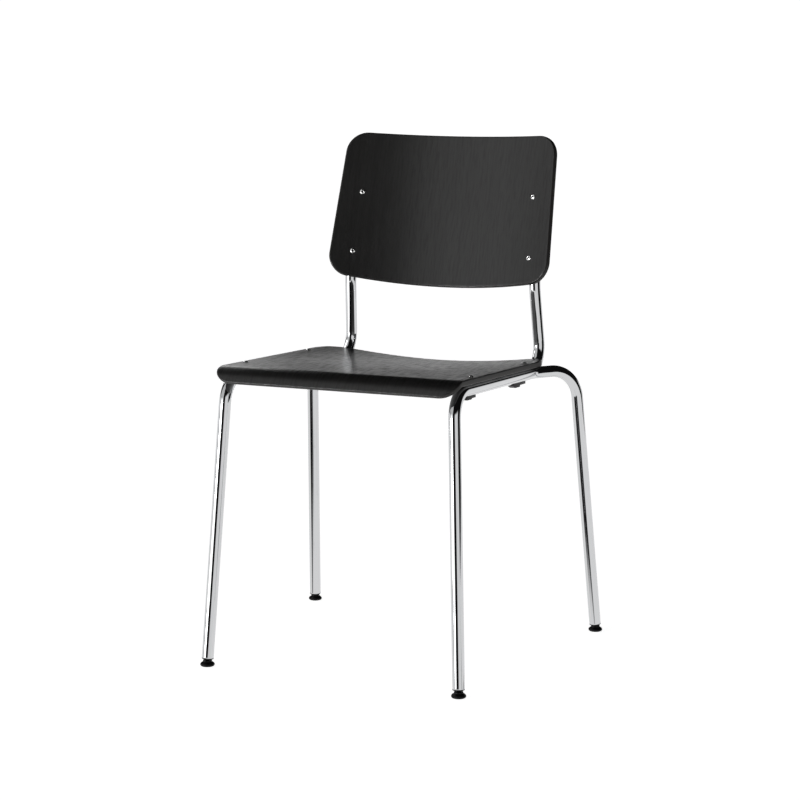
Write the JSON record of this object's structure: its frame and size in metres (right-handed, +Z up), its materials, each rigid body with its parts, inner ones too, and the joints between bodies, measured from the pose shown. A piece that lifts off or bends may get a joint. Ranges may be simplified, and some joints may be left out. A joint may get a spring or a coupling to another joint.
{
  "type": "stacking chair",
  "caption": "Stacking chair with a bent tube frame, back uprights, moulded plywood seat and backrest, and tilting glides on splayed legs.",
  "frame": {"origin": "on the floor under the middle of the chair's outer box", "axes": "+Z up, the chair faces -Y, and +X is towards the sitter's left"},
  "size_m": [0.5284, 0.4909, 0.7935],
  "materials": {
    "stained_ply": "satin black-stained veneer",
    "chrome_tube": "polished chrome plate",
    "zinc_steel": "bright zinc plate",
    "black_plastic": "fine matt texture"
  },
  "bodies": {
    "chair": {"side_frame_left": "chrome_tube", "side_frame_right": "chrome_tube", "back_upright_left": "chrome_tube", "back_upright_right": "chrome_tube", "cross_bar_front": "chrome_tube", "cross_bar_rear": "chrome_tube", "frame_welds": "chrome_tube", "seat_shell": "stained_ply", "back_shell": "stained_ply", "seat_screws": "zinc_steel", "seat_inserts": "zinc_steel", "back_screws": "zinc_steel", "back_inserts": "zinc_steel", "bumper_front_left": "black_plastic", "bumper_front_right": "black_plastic", "bumper_rear_left": "black_plastic", "bumper_rear_right": "black_plastic", "upright_cap_left": "black_plastic", "upright_cap_right": "black_plastic", "runner_plug_left": "black_plastic", "runner_plug_right": "black_plastic", "glide_insert_front_left": "black_plastic", "glide_insert_front_right": "black_plastic", "glide_insert_rear_left": "black_plastic", "glide_insert_rear_right": "black_plastic"},
    "foot_front_left": {"glide_foot_front_left": "black_plastic"},
    "foot_front_right": {"glide_foot_front_right": "black_plastic"},
    "foot_rear_left": {"glide_foot_rear_left": "black_plastic"},
    "foot_rear_right": {"glide_foot_rear_right": "black_plastic"}
  },
  "joints": [
    {"name": "tilt_front_left", "type": "hinge", "parent": "chair", "child": "foot_front_left", "pos_m": [0.208, -0.2344, 0.0064], "axis": [1, 0, 0], "range_deg": [-8, 8]},
    {"name": "tilt_front_right", "type": "hinge", "parent": "chair", "child": "foot_front_right", "pos_m": [-0.208, -0.2344, 0.0064], "axis": [1, 0, 0], "range_deg": [-8, 8]},
    {"name": "tilt_rear_left", "type": "hinge", "parent": "chair", "child": "foot_rear_left", "pos_m": [0.253, 0.22, 0.0064], "axis": [1, 0, 0], "range_deg": [-8, 8]},
    {"name": "tilt_rear_right", "type": "hinge", "parent": "chair", "child": "foot_rear_right", "pos_m": [-0.253, 0.22, 0.0064], "axis": [1, 0, 0], "range_deg": [-8, 8]}
  ]
}
